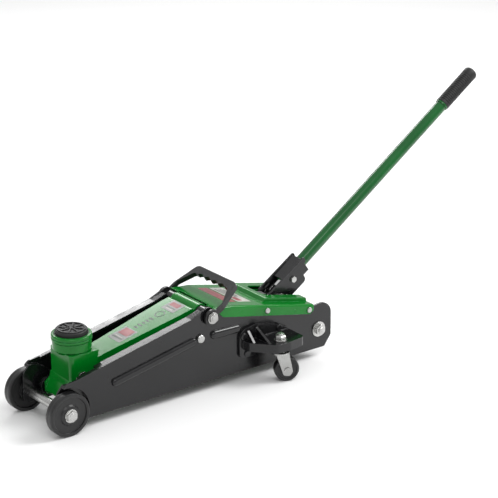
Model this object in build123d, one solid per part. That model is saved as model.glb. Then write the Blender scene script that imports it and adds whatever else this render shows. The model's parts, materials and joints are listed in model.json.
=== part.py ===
from build123d import *
import math
import os

# Hydraulic floor jack. Millimetres, +Z up. While the pieces are made, X is the distance behind the
# front axle, Y is measured from the centre plane and Z from the floor. The saddle end is -X, the
# handle end +X, the left side -Y. Before export everything moves so that the origin is the bottom
# centre of the whole jack.

# ---- driving dimensions ----
# side plates
PLATE_T = 3.0
PLATE_OUT_Y = 54.0
PLATE_LOW = 16.0
PLATE_TAIL_X = 481.0
PLATE_TAIL_HIGH = 89.0
PLATE_NOSE_X = -12.0
FLANGE_W = 14.0
FLANGE_NOSE_W = 7.0
FLANGE_START_X = 21.0
FLANGE_WIDE_X = 55.0
FLANGE_START_HIGH = 79.4
FLANGE_SLOPE = 0.212
RIB_START = (82.0, 59.0)
RIB_END = (219.0, 86.0)
RIB_W = 13.0
RIB_RISE = 5.0
REAR_RIB_START = (257.0, 88.0)
REAR_RIB_END = (300.0, 87.0)
DISH_R = 38.0
DISH_DEEP = 7.5
# front axle and wheels
WHEEL_R = 32.5
WHEEL_W = 15.0
WHEEL_INSET = 5.7
AXLE_R = 7.0
WHEEL_NUT_R = 8.6
# main shaft, arm and links
SHAFT_X = 250.0
SHAFT_HIGH = 118.0
SHAFT_R = 8.0
SHAFT_PAST_PLATE = 7.0
ARM_PIN_X = 43.1
ARM_PIN_HIGH = 69.2
ARM_PIN_R = 6.0
ARM_T = 4.0
ARM_REAR_Y = 30.0
ARM_NOSE_Y = 20.7
ARM_WEB_GAP = 11.0
ARM_WEB_UP = 12.5
ARM_DEEP = 36.0
ARM_HUB_R = 12.5
ARM_LIFT_DEG = 84.0
CRANK_R = 42.0
CRANK_PIN_R = 6.0
LINK_PIVOT_BACK = -18.0
LINK_PIVOT_UP = -30.0
LINK_W = 28.0
LINK_T = 5.0
LINK_IN_Y = 31.5
LINK_PIN_R = 5.0
LINK_HEAD_R = 6.4
LINK_HEAD_T = 4.5
# saddle end
CHEEK_OUT_Y = 28.5
CHEEK_T = 3.6
BRACKET_FRONT_X = 24.5
BRACKET_REAR_X = 72.0
FOOT_TIP = (14.0, 36.0)
BRACKET_TOP = 103.0
BOSS_R = 28.4
BOSS_TOP = 117.0
SADDLE_R = 29.6
SADDLE_RIM = 127.5
PAD_R = 23.4
PAD_TOP = 134.8
SADDLE_STEM_R = 9.0
# power unit
RAM_TILT_DEG = 6.0
RAM_ROD_R = 11.0
TANK_R = 29.0
TANK_FRONT_X = 310.0
TANK_BACK_X = 380.0
BLOCK_FRONT_X = 376.0
BLOCK_BACK_X = 476.0
BLOCK_LOW = 24.0
BLOCK_TOP = 72.0
TAIL_BOLT_X = 456.0
TAIL_BOLT_HIGH = 47.5
TAIL_BOLT_R = 6.0
TAIL_NUT_AF = 15.5
TAIL_NUT_T = 5.5
# pump and handle
PIVOT_X = 407.0
PIVOT_HIGH = 99.5
HANDLE_REST_DEG = 35.1
HANDLE_UP_DEG = 44.0
HANDLE_DOWN_DEG = 16.0
PUMP_ARM = 20.0
PUMP_PIN_R = 4.0
ROLLER_R = 5.5
PLUNGER_R = 6.0
TUBE_R = 9.4
TUBE_WALL = 1.5
GRIP_WALL = 1.8
HANDLE_END = 497.4
GRIP_LENGTH = 77.0
SOCKET_T = 3.0
SOCKET_ROOM = 1.8
LUG_T = 6.0
PIVOT_BOLT_R = 5.0
FORK_NECK_R = 8.4
PIVOT_HEAD_T = 3.0
# cover
COVER_T = 2.0
COVER_FRONT_X = 256.5
COVER_BEND_X = 289.4
COVER_BACK_X = 445.0
COVER_FRONT_HIGH = 129.2
COVER_BEND_HIGH = 126.0
COVER_BACK_HIGH = 91.0
COVER_SKIRT = 17.4
COLLAR_RISE = 6.5
COLLAR_HALF_W = 40.0
COLLAR_FRONT_X = 356.0
OPENING_ROOM = 1.4
OPENING_FRONT_X = 374.0
# rear casters
CASTER_X = 356.0
CASTER_REACH = 33.0
CASTER_WHEEL_R = 19.0
CASTER_WHEEL_W = 14.0
CASTER_TRAIL = 9.0
CASTER_TURN_DEG = 25.0
SHELF_HIGH = 61.0
SHELF_LIP_LOW = 51.5
SHELF_T = 4.0
KINGPIN_R = 5.0
# carry handle
BAIL_REACH = 66.0
BAIL_REST_DEG = 32.0
BAIL_GRIP_HALF = 47.5
BAIL_GRIP_W = 14.0
BAIL_ARM_W = 6.0
BAIL_T = 8.0
# named clearances
RUNNING = 0.05
SIDE_GAP = 0.4
SURFACE_GAP = 0.5

CREST_UP = 14.5
FLANGE_BEND_X = 217.0
COVER_SCREWS_X = (355.0, 436.0)
SCREW_R = 2.5
SCREW_HEAD_R = 4.5
RIVET_R = 3.0
AXLE_END = 5.5
SHAFT_STUB = 5.0
SHAFT_STUB_R = 4.5
BRACE = (150.0, 34.0)
BRACE_R = 6.0
BRACKET_BEND_R = 6.0
WALL_LOW = 53.0
SEAT_CONE = 6.0
PAD_RIBS = 8
CYL_R = 19.0
GLAND_L = 8.0
SOCKET_SWEEP_R = 20.0
VALVE_R = 3.0
PLUG_X = 452.0
PLUG_Y = 22.0
WASHER_T = 1.8
HEAD_BACK = 9.0
SLOT_PLAY = 1.6
VALVE_BALL_R = 4.6
SOCKET_TOP = 73.0
TINE_START = 2.5
SOCKET_SLEEVE = (25.0, 69.0)
COVER_SIDE_GAP = 0.3
FORK_T = 2.6
RACE_R = 9.5
RACE_T = 7.0
BAIL_BOSS_T = 4.0
BAIL_STRAIGHT = 27.0
BAIL_BOSS_R = 12.5
FINGERS = 4
FINGER_PITCH = 17.0
FINGER_R = 9.5
FINGER_DEEP = 3.0


def in_x(angle_deg, length):
    return length * math.cos(math.radians(angle_deg))


def in_z(angle_deg, length):
    return length * math.sin(math.radians(angle_deg))


# ---- derived places ----
PLATE_IN_Y = PLATE_OUT_Y - PLATE_T
DISH_OUT_Y = PLATE_OUT_Y - DISH_DEEP
WHEEL_INNER_Y = PLATE_OUT_Y - WHEEL_INSET
SHAFT_END_Y = PLATE_OUT_Y + SHAFT_PAST_PLATE
CASTER_Y = PLATE_OUT_Y + CASTER_REACH
GRIP_R = TUBE_R + GRIP_WALL
SOCKET_IN_Y = TUBE_R + SOCKET_ROOM
AXLE_HIGH = WHEEL_R
SHAFT = (SHAFT_X, SHAFT_HIGH)
ARM_PIN = (ARM_PIN_X, ARM_PIN_HIGH)
ARM_LENGTH = math.dist(SHAFT, ARM_PIN)
ARM_ANGLE = math.degrees(math.atan2(ARM_PIN_HIGH - SHAFT_HIGH, ARM_PIN_X - SHAFT_X))
LINK_PIVOT = (SHAFT_X + LINK_PIVOT_BACK, SHAFT_HIGH + LINK_PIVOT_UP)
LINK_PIN = (ARM_PIN_X + LINK_PIVOT_BACK, ARM_PIN_HIGH + LINK_PIVOT_UP)
LINK_OUT_Y = LINK_IN_Y + LINK_T
SADDLE_X = ARM_PIN_X + 2.0
CRANK_REST_DEG = -90.0 + RAM_TILT_DEG * -1.0 + ARM_LIFT_DEG / 2
CRANK_PIN = (SHAFT_X + in_x(CRANK_REST_DEG, CRANK_R), SHAFT_HIGH + in_z(CRANK_REST_DEG, CRANK_R))
RAM_DROP = CRANK_R * (1 + math.cos(math.radians(ARM_LIFT_DEG / 2))) / 2
RAM_STROKE = 2 * CRANK_R * math.sin(math.radians(ARM_LIFT_DEG / 2))
PUMP_REST_DEG = -(HANDLE_UP_DEG - HANDLE_DOWN_DEG) / 2
PUMP_PIN = (PIVOT_X + in_x(PUMP_REST_DEG, PUMP_ARM), PIVOT_HIGH + in_z(PUMP_REST_DEG, PUMP_ARM))
OVERALL_BACK_X = PIVOT_X + in_x(HANDLE_REST_DEG, HANDLE_END) + in_z(HANDLE_REST_DEG, GRIP_R) * 0.6
ORIGIN_X = (OVERALL_BACK_X - WHEEL_R) / 2
FLANGE_END = (SHAFT_X - 12.5, 128.0)
UNDER_COVER = COVER_T + SURFACE_GAP
CASTER_RIVETS = [(CASTER_X - 47, 73.0), (CASTER_X - 40, 44.5), (CASTER_X + 20, 71.0)]
LUG_IN_Y = SOCKET_IN_Y + SOCKET_T + SIDE_GAP
OPENING_HALF_W = LUG_IN_Y + LUG_T + PIVOT_HEAD_T + OPENING_ROOM
PLUNGER_X = PIVOT_X + PUMP_ARM * 0.93
PLUNGER_TOP = PUMP_PIN[1] - ROLLER_R - SURFACE_GAP
COVER_OUT_Y = PLATE_OUT_Y + COVER_SIDE_GAP + COVER_T
GUSSETS = [(CASTER_X - 40, CASTER_Y - 14, 84.0), (CASTER_X - 24, CASTER_Y + 4, 84.0)]
FORK_TOP = 2 * CASTER_WHEEL_R + 9.0
BAIL_OUT_Y = SHAFT_END_Y - SIDE_GAP


# ---- drawing helpers ----
def outline(corners, plane):
    """Closed face from (a, b, radius) corners in a plane's own axes."""
    edges = []
    ends = []
    for i, (a, b, radius) in enumerate(corners):
        here = Vector(a, b)
        before = Vector(*corners[i - 1][:2])
        after = Vector(*corners[(i + 1) % len(corners)][:2])
        back, ahead = (before - here).normalized(), (after - here).normalized()
        if radius == 0:
            ends.append((here, here, None))
            continue
        half = math.radians(back.get_angle(ahead)) / 2
        reach = radius / math.tan(half)
        middle = here + (back + ahead).normalized() * (radius / math.sin(half) - radius)
        ends.append((here + back * reach, here + ahead * reach, middle))
    for i, (start, end, middle) in enumerate(ends):
        if middle is not None:
            edges.append(ThreePointArc(*[plane.from_local_coords(p) for p in (start, middle, end)]))
        following = ends[(i + 1) % len(ends)][0]
        if (following - end).length > 1e-6:
            edges.append(Line(plane.from_local_coords(end), plane.from_local_coords(following)))
    return make_face(edges)


SIDE = Plane(origin=(0, 0, 0), x_dir=(1, 0, 0), z_dir=(0, -1, 0))
TOP = Plane.XY


def slab(corners, low_y, high_y):
    """Side outline (x, z, radius) as a plate between two Y values."""
    return Pos(0, low_y, 0) * extrude(outline(corners, SIDE), amount=high_y - low_y, dir=(0, 1, 0))


def tile(corners, low_z, high_z):
    """Plan outline (x, y, radius) as a plate between two heights."""
    return Pos(0, 0, low_z) * extrude(outline(corners, TOP), amount=high_z - low_z, dir=(0, 0, 1))


def rod(start, end, radius):
    start, end = Vector(*start), Vector(*end)
    return Part() + Solid.make_cylinder(radius, (end - start).length, Plane(origin=start, z_dir=end - start))


def across(place, radius, low_y, high_y):
    return rod((place[0], low_y, place[1]), (place[0], high_y, place[1]), radius)


def upright(x, y, radius, low_z, high_z):
    return rod((x, y, low_z), (x, y, high_z), radius)


def nut(place, across_flats, low_y, high_y, outward):
    """Hexagon along Y with its outer corners turned off."""
    corner_r = across_flats / math.sqrt(3)
    body = Plane(origin=(place[0], low_y, place[1]), z_dir=(0, 1, 0)) * extrude(
        RegularPolygon(corner_r, 6), amount=high_y - low_y)
    tip = high_y if outward > 0 else low_y
    deep = corner_r
    base = tip - outward * deep
    cone = Solid.make_cone(corner_r * 0.93 + deep, corner_r * 0.93, deep,
                           Plane(origin=(place[0], base, place[1]), z_dir=(0, outward, 0)))
    return body & (Part() + cone)


def both(piece):
    """A piece on the right side with its mirror image on the left."""
    return Compound(children=[*piece.solids(), *mirror(piece, about=Plane.XZ).solids()])


# ---- chassis ----
def flange_high(x):
    return FLANGE_START_HIGH + FLANGE_SLOPE * (x - FLANGE_START_X)


def cover_high(x):
    if x < COVER_BEND_X:
        share = (x - COVER_FRONT_X) / (COVER_BEND_X - COVER_FRONT_X)
        return COVER_FRONT_HIGH + share * (COVER_BEND_HIGH - COVER_FRONT_HIGH)
    share = (x - COVER_BEND_X) / (COVER_BACK_X - COVER_BEND_X)
    return COVER_BEND_HIGH + share * (COVER_BACK_HIGH - COVER_BEND_HIGH)


def plate_corners():
    under = COVER_FRONT_X - 1.0
    return [
        (PLATE_NOSE_X, PLATE_LOW, 8), (PLATE_NOSE_X + 1, 62, 12), (2, 76.5, 12),
        (FLANGE_START_X, FLANGE_START_HIGH, 4), (FLANGE_BEND_X, flange_high(FLANGE_BEND_X), 6),
        (SHAFT_X - 5, SHAFT_HIGH + CREST_UP, 4), (SHAFT_X + 1.5, SHAFT_HIGH + CREST_UP, 3),
        (under, cover_high(COVER_FRONT_X) - UNDER_COVER, 1),
        (COVER_BEND_X, COVER_BEND_HIGH - UNDER_COVER, 6),
        (COVER_BACK_X + 1.5, COVER_BACK_HIGH - UNDER_COVER - 0.4, 3),
        (COVER_BACK_X + 12, PLATE_TAIL_HIGH, 5),
        (PLATE_TAIL_X, PLATE_TAIL_HIGH, 20), (PLATE_TAIL_X, PLATE_LOW + 17, 4),
        (PLATE_TAIL_X - 12.5, PLATE_LOW, 4),
    ]


def stadium(start, end, width):
    """Corners of a round-ended strip between two (x, z) places."""
    along = Vector(end[0] - start[0], end[1] - start[1]).normalized()
    side = Vector(-along.Y, along.X) * (width / 2)
    tip = along * (width / 2)
    a, b = Vector(*start) - tip, Vector(*end) + tip
    r = width / 2 * 0.98
    return [(p.X, p.Y, r) for p in (a + side, a - side, b - side, b + side)]


def fold(start, end, width):
    """Strip of the top flange, folded inwards from the plate's edge."""
    strip = [(*start, 0), (*end, 0), (end[0], end[1] - PLATE_T, 0), (start[0], start[1] - PLATE_T, 0)]
    return slab(strip, PLATE_OUT_Y - width, PLATE_OUT_Y)


def round_ended(start, end, width, low_y, high_y):
    """Slot-shaped block between two (x, z) places."""
    along = Vector(end[0] - start[0], 0, end[1] - start[1]).normalized()
    side = Vector(-along.Z, 0, along.X) * (width / 2)
    a, b = Vector(start[0], low_y, start[1]), Vector(end[0], low_y, end[1])
    tip = along * (width / 2)
    face = make_face([Line(a + side, b + side), ThreePointArc(b + side, b + tip, b - side),
                      Line(b - side, a - side), ThreePointArc(a - side, a - tip, a + side)])
    return extrude(face, amount=high_y - low_y, dir=(0, 1, 0))


def pressed_rib(start, end):
    """Stiffening bead pushed outwards, as its rounded outside and its hollow back."""
    bulge = round_ended(start, end, RIB_W, PLATE_IN_Y, PLATE_OUT_Y + RIB_RISE)
    bulge = fillet(bulge.edges().group_by(Axis.Y)[-1], RIB_RISE - 0.3)
    return bulge, round_ended(start, end, RIB_W - 2 * PLATE_T, PLATE_IN_Y - 1, PLATE_IN_Y + RIB_RISE)


def side_plate():
    """Right-hand pressed plate: flat sheet, dished round the wheel, with a folded top flange."""
    corners = plate_corners()
    full = slab(corners, 0, PLATE_OUT_Y)
    sheet = slab(corners, PLATE_IN_Y, PLATE_OUT_Y)
    axle = (0, AXLE_HIGH)
    dish = full & across(axle, DISH_R, DISH_OUT_Y - PLATE_T, DISH_OUT_Y)
    wall = full & (across(axle, DISH_R + PLATE_T, DISH_OUT_Y - PLATE_T, PLATE_OUT_Y)
                   - across(axle, DISH_R, DISH_OUT_Y, PLATE_OUT_Y + 1))
    plate = sheet - across(axle, DISH_R, PLATE_IN_Y - 1, PLATE_OUT_Y + 1) + dish + wall
    for start, end, width in [(FLANGE_START_X, FLANGE_WIDE_X, FLANGE_NOSE_W),
                              (FLANGE_WIDE_X, FLANGE_BEND_X, FLANGE_W)]:
        plate += fold((start, flange_high(start)), (end, flange_high(end)), width)
    plate += fold((FLANGE_BEND_X, flange_high(FLANGE_BEND_X)), FLANGE_END, FLANGE_W)
    for start, end in [(RIB_START, RIB_END), (REAR_RIB_START, REAR_RIB_END)]:
        bulge, hollow = pressed_rib(start, end)
        plate = plate + bulge - hollow
    plate -= across(axle, AXLE_R, 0, PLATE_OUT_Y + 1)
    plate -= across(SHAFT, SHAFT_R, 0, PLATE_OUT_Y + 1)
    plate -= across(LINK_PIVOT, LINK_PIN_R, 0, PLATE_OUT_Y + 1)
    plate -= across((TAIL_BOLT_X, TAIL_BOLT_HIGH), TAIL_BOLT_R, 0, PLATE_OUT_Y + 1)
    for x in COVER_SCREWS_X:
        plate -= across((x, screw_high(x)), SCREW_R, 0, PLATE_OUT_Y + 1)
    for x, z in CASTER_RIVETS:
        plate -= across((x, z), RIVET_R, 0, PLATE_OUT_Y + 1)
    return plate


def screw_high(x):
    return cover_high(x) - COVER_SKIRT / 2


def front_axle():
    journal = WHEEL_INNER_Y + WHEEL_W + SIDE_GAP
    axle = (0, AXLE_HIGH)
    body = across(axle, AXLE_R, -journal, journal)
    stub = AXLE_R - 2
    return body + across(axle, stub, -journal - AXLE_END, journal + AXLE_END)


def front_axle_nuts():
    axle = (0, AXLE_HIGH)
    base = WHEEL_INNER_Y + WHEEL_W + SIDE_GAP
    washer = across(axle, WHEEL_NUT_R + 1.4, base, base + 1.2)
    hexagon = nut(axle, 2 * WHEEL_NUT_R * 0.87, base + 1.2, base + AXLE_END - 0.3, 1)
    return both(washer + hexagon - across(axle, AXLE_R - 2, 0, base + AXLE_END + 1))


def front_wheel():
    """Right-hand steel roller with a raised rim and a hub boss on its outer face."""
    axle = (0, AXLE_HIGH)
    inner, outer = WHEEL_INNER_Y, WHEEL_INNER_Y + WHEEL_W
    body = across(axle, WHEEL_R, inner, outer)
    body = chamfer(body.edges().filter_by(GeomType.CIRCLE), 1.4)
    rim_r, hub_r, deep = WHEEL_R - 5.0, 13.0, 2.6
    for low, high in [(outer - deep, outer + 1), (inner - 1, inner + deep)]:
        body -= across(axle, rim_r, low, high) - across(axle, hub_r, low - 1, high + 1)
    return body - across(axle, AXLE_R + RUNNING, inner - 1, outer + 1)


def main_shaft():
    stub = SHAFT_STUB_R
    return (across(SHAFT, SHAFT_R, -SHAFT_END_Y, SHAFT_END_Y)
            + across(SHAFT, stub, -SHAFT_END_Y - SHAFT_STUB, SHAFT_END_Y + SHAFT_STUB))


def main_shaft_nuts():
    washer = across(SHAFT, 8.8, SHAFT_END_Y, SHAFT_END_Y + 1.4)
    hexagon = nut(SHAFT, 13.0, SHAFT_END_Y + 1.4, SHAFT_END_Y + SHAFT_STUB - 0.4, 1)
    return both(washer + hexagon - across(SHAFT, SHAFT_STUB_R, 0, SHAFT_END_Y + SHAFT_STUB + 1))


def shaft_spacers():
    """Tubes that keep the arm central between the side plates."""
    sleeve = across(SHAFT, SHAFT_R + 2.5, ARM_REAR_Y + SIDE_GAP, PLATE_IN_Y)
    return both(sleeve - across(SHAFT, SHAFT_R, 0, PLATE_OUT_Y))


def link_pivot_bolts():
    head = across(LINK_PIVOT, LINK_HEAD_R, PLATE_OUT_Y, PLATE_OUT_Y + LINK_HEAD_T)
    head = chamfer(head.edges().filter_by(GeomType.CIRCLE).group_by(Axis.Y)[-1], 1.2)
    shank = across(LINK_PIVOT, LINK_PIN_R, LINK_IN_Y, PLATE_OUT_Y)
    return both(head + shank)


def link_pivot_spacers():
    ring = across(LINK_PIVOT, LINK_PIN_R + 4, LINK_OUT_Y + SIDE_GAP, PLATE_IN_Y)
    return both(ring - across(LINK_PIVOT, LINK_PIN_R, 0, PLATE_OUT_Y))


def cross_brace():
    """Tie rod between the side plates below the arm."""
    return across(BRACE, BRACE_R, -PLATE_IN_Y, PLATE_IN_Y)


# ---- lift arm ----
def on_arm(along, up):
    """Place given along the arm from the main shaft and upwards from its centre line."""
    return (SHAFT_X + in_x(ARM_ANGLE, along) - in_x(ARM_ANGLE + 90, up),
            SHAFT_HIGH + in_z(ARM_ANGLE, along) - in_z(ARM_ANGLE + 90, up))


def arm_corners(grow):
    reach = ARM_LENGTH
    places = [
        (-2, ARM_WEB_UP - 1, 8), (reach - 4, ARM_WEB_UP - 1.5, 4), (reach + 11, ARM_WEB_UP - 2, 9),
        (reach + 11, -12, 9), (reach - 10, -13, 8), (110, -ARM_DEEP, 30), (34, -ARM_DEEP, 12),
    ]
    return [(*on_arm(a, b + (grow if b > 0 else -grow)), r) for a, b, r in places]


def lift_arm():
    """Folded channel, open below, tapering to the saddle end, with a crank at the shaft."""
    half = ARM_REAR_Y
    taper = [(SHAFT_X + 60, -half, 0), (SHAFT_X + 60, half, 0), (SHAFT_X - 30, half, 0),
             (ARM_PIN_X + 48, ARM_NOSE_Y, 0), (ARM_PIN_X - 30, ARM_NOSE_Y, 0),
             (ARM_PIN_X - 30, -ARM_NOSE_Y, 0), (ARM_PIN_X + 48, -ARM_NOSE_Y, 0), (SHAFT_X - 30, -half, 0)]
    inner = [(x, y - math.copysign(ARM_T, y), 0) for x, y, _ in taper]
    shape = slab(arm_corners(0), -half, half)
    shape += across(SHAFT, ARM_HUB_R, -half, half) + across(CRANK_PIN, CRANK_PIN_R + 6, -half, half)
    shape += slab(crank_corners(), -half, half)
    body = shape & tile(taper, 0, SHAFT_HIGH * 2)
    far = ARM_LENGTH + 60
    web_low = [(*on_arm(-60, ARM_WEB_UP - 1.2 - ARM_T), 0), (*on_arm(far, ARM_WEB_UP - 2 - ARM_T), 0),
               (*on_arm(far, -200), 0), (*on_arm(-60, -200), 0)]
    body -= tile(inner, 0, SHAFT_HIGH * 2) & slab(web_low, -half, half)
    # the web stops short of the shaft, so that it swings clear of the cover
    gap = slab([(*on_arm(ARM_WEB_GAP, 60), 0), (*on_arm(ARM_WEB_GAP, -60), 0), (*on_arm(-60, -60), 0),
                (*on_arm(-60, 60), 0)], -half + ARM_T, half - ARM_T)
    body -= gap
    body += across(SHAFT, ARM_HUB_R, -half, half)
    body -= across(SHAFT, SHAFT_R + RUNNING, -half - 1, half + 1)
    body -= across(ARM_PIN, ARM_PIN_R, -half, half)
    body -= across(CRANK_PIN, CRANK_PIN_R, -half - 1, half + 1)
    return body


def crank_corners():
    """Lobe of the side plates that runs from the shaft to the crank pin."""
    return [(*on_arm(60, -10), 2), (*on_arm(60, -ARM_DEEP), 2),
            (CRANK_PIN[0] + 2, CRANK_PIN[1] - CRANK_PIN_R - 6, 4),
            (CRANK_PIN[0] + CRANK_PIN_R + 6, CRANK_PIN[1], 4),
            (SHAFT_X + ARM_HUB_R - 1, SHAFT_HIGH, 3)]


def crank_pin():
    return across(CRANK_PIN, CRANK_PIN_R, -ARM_REAR_Y, ARM_REAR_Y)


def arm_pin():
    """Pin of the arm nose, with a flat head at each end outside the bracket cheeks."""
    end = CHEEK_OUT_Y + SIDE_GAP
    body = across(ARM_PIN, ARM_PIN_R, -end, end)
    heads = both(across(ARM_PIN, ARM_PIN_R + 1.6, end, end + 2.4))
    return body + heads


# ---- saddle end ----
def bracket_plan(inset, corner_r):
    half = CHEEK_OUT_Y - inset
    front = BRACKET_FRONT_X + inset
    return [(front, -half, corner_r), (BRACKET_REAR_X + 1, -half, 0),
            (BRACKET_REAR_X + 1, half, 0), (front, half, corner_r)]


def saddle_bracket():
    """Box open at the rear and below, with a round seat for the saddle and a flared front foot."""
    outer = tile(bracket_plan(0, BRACKET_BEND_R), 0, BRACKET_TOP)
    inner = tile(bracket_plan(CHEEK_T, BRACKET_BEND_R - CHEEK_T), -1, BRACKET_TOP - CHEEK_T)
    rear = Box(CHEEK_T * 4, 2 * (CHEEK_OUT_Y - CHEEK_T), BRACKET_TOP,
               align=(Align.CENTER, Align.CENTER, Align.MIN))
    inner += rear.moved(Location((BRACKET_REAR_X, 0, -CHEEK_T)))
    rear_low = (BRACKET_REAR_X - 6, ARM_PIN_HIGH - 6, 14)
    side = [(BRACKET_FRONT_X - 1, BRACKET_TOP, 0), (BRACKET_REAR_X, BRACKET_TOP, 0), rear_low,
            (ARM_PIN_X, WALL_LOW, 0), (BRACKET_FRONT_X - 1, WALL_LOW, 0)]
    shell = (outer - inner) & slab(side, -CHEEK_OUT_Y - 1, CHEEK_OUT_Y + 1)
    bend_x = BRACKET_FRONT_X + BRACKET_BEND_R
    cheek = slab([(bend_x, BRACKET_TOP - CHEEK_T, 0), (BRACKET_REAR_X, BRACKET_TOP, 0), rear_low,
                  (LINK_PIN[0] + 13, LINK_PIN[1] - 11, 9), (LINK_PIN[0] - 10, LINK_PIN[1] - 11, 8),
                  (LINK_PIN[0] - 10, LINK_PIN[1] + 9, 3), (bend_x, LINK_PIN[1] + 23, 3)],
                 CHEEK_OUT_Y - CHEEK_T, CHEEK_OUT_Y)
    for piece in both(cheek).solids():
        shell += piece
    # the front wall flares forward at its foot
    tip_x, tip_z = FOOT_TIP
    foot = slab([(BRACKET_FRONT_X, 66, 3), (BRACKET_FRONT_X - 2, 56, 4), (tip_x, tip_z + 2, 0),
                 (tip_x + 1.5, tip_z - 1, 0), (BRACKET_FRONT_X + CHEEK_T - 1.5, 54, 4),
                 (BRACKET_FRONT_X + CHEEK_T, 66, 0)],
                -CHEEK_OUT_Y + CHEEK_T / 2, CHEEK_OUT_Y - CHEEK_T / 2)
    seat = upright(SADDLE_X, 0, BOSS_R, BRACKET_TOP - CHEEK_T, BOSS_TOP)
    seat = chamfer(seat.edges().filter_by(GeomType.CIRCLE).group_by(Axis.Z)[0], SEAT_CONE)
    body = shell + foot + seat
    body -= upright(SADDLE_X, 0, SADDLE_STEM_R + RUNNING, BRACKET_TOP - CHEEK_T - 1, BOSS_TOP + 1)
    body -= across(ARM_PIN, ARM_PIN_R + RUNNING, -CHEEK_OUT_Y - 1, CHEEK_OUT_Y + 1)
    body -= across(LINK_PIN, LINK_PIN_R, -CHEEK_OUT_Y - 1, CHEEK_OUT_Y + 1)
    return body


def link_rivets():
    head = across(LINK_PIN, 7.5, LINK_OUT_Y + SIDE_GAP, LINK_OUT_Y + SIDE_GAP + 3)
    head = chamfer(head.edges().filter_by(GeomType.CIRCLE).group_by(Axis.Y)[-1], 1.2)
    shank = across(LINK_PIN, LINK_PIN_R, CHEEK_OUT_Y - CHEEK_T, LINK_OUT_Y + SIDE_GAP)
    collar = across(LINK_PIN, LINK_PIN_R + 3, CHEEK_OUT_Y, LINK_IN_Y - SIDE_GAP)
    return both(head + shank + collar)


def saddle_cup():
    """Turning saddle: steel cup with a stem that stands in the bracket's seat."""
    low = BOSS_TOP + SIDE_GAP
    cup = upright(SADDLE_X, 0, SADDLE_R, low, SADDLE_RIM)
    cup = fillet(cup.edges().filter_by(GeomType.CIRCLE), 2.0)
    groove_z = (low + SADDLE_RIM) / 2
    cup -= upright(SADDLE_X, 0, SADDLE_R + 1, groove_z - 0.8, groove_z + 0.8) - upright(
        SADDLE_X, 0, SADDLE_R - 1.2, groove_z - 2, groove_z + 2)
    cup -= upright(SADDLE_X, 0, PAD_R + 1.6, SADDLE_RIM - 5, SADDLE_RIM + 1)
    return cup + upright(SADDLE_X, 0, SADDLE_STEM_R, BRACKET_TOP - CHEEK_T, low)


def saddle_pad():
    """Rubber pad with a stepped edge and a ribbed top."""
    floor = SADDLE_RIM - 5
    pad = upright(SADDLE_X, 0, PAD_R + 1.4, floor, SADDLE_RIM - 0.5)
    top = upright(SADDLE_X, 0, PAD_R, SADDLE_RIM - 0.5, PAD_TOP - 1.4)
    pad += chamfer(top.edges().filter_by(GeomType.CIRCLE).group_by(Axis.Z)[-1], 1.0)
    ring = upright(SADDLE_X, 0, PAD_R - 2.4, PAD_TOP - 1.6, PAD_TOP) - upright(
        SADDLE_X, 0, PAD_R - 5.0, PAD_TOP - 2, PAD_TOP + 1)
    pad += ring + upright(SADDLE_X, 0, 3.2, PAD_TOP - 1.6, PAD_TOP)
    for step in range(PAD_RIBS):
        spoke = Box(PAD_R - 10.5, 2.6, 1.6)
        place = Pos(SADDLE_X, 0, PAD_TOP - 0.8) * Rot(0, 0, step * 360 / PAD_RIBS) * Pos(PAD_R / 2 - 0.6, 0, 0)
        pad += place * spoke
    return pad


# ---- parallel links ----
def link():
    """Right-hand flat bar that keeps the saddle level."""
    body = slab(stadium(LINK_PIN, LINK_PIVOT, LINK_W), LINK_IN_Y, LINK_OUT_Y)
    for place in (LINK_PIN, LINK_PIVOT):
        body -= across(place, LINK_PIN_R + RUNNING * 2, LINK_IN_Y - 1, LINK_OUT_Y + 1)
    return body


# ---- power unit ----
def on_ram(x, off=0.0):
    """Place on the ram's centre line at a given X, or off it by a distance at right angles."""
    base_z = SHAFT_HIGH - RAM_DROP / math.cos(math.radians(RAM_TILT_DEG))
    z = base_z - (x - SHAFT_X) * math.tan(math.radians(RAM_TILT_DEG))
    return (x + in_z(RAM_TILT_DEG, off), z + in_x(RAM_TILT_DEG, off))


def along_ram(start_x, end_x, radius):
    start, end = on_ram(start_x), on_ram(end_x)
    return rod((start[0], 0, start[1]), (end[0], 0, end[1]), radius)


def tank():
    """Oil tank: outer tube round the ram cylinder."""
    bore = along_ram(TANK_FRONT_X - 1, TANK_BACK_X + 1, TANK_R - 2.5)
    return along_ram(TANK_FRONT_X, TANK_BACK_X, TANK_R) - bore


def ram_cylinder():
    body = along_ram(TANK_FRONT_X - 4, BLOCK_FRONT_X + 12, CYL_R)
    return body - along_ram(TANK_FRONT_X - 6, BLOCK_FRONT_X + 4, RAM_ROD_R + RUNNING)


def tank_nut():
    """End cap of the tank, screwed on the cylinder."""
    cap = along_ram(TANK_FRONT_X - GLAND_L, TANK_FRONT_X, TANK_R + 1.5)
    cap = chamfer(cap.edges().filter_by(GeomType.CIRCLE), 1.2)
    return cap - along_ram(TANK_FRONT_X - GLAND_L - 1, TANK_FRONT_X - 4, RAM_ROD_R + 0.6) - along_ram(
        TANK_FRONT_X - 4, TANK_FRONT_X + 1, CYL_R)


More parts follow.
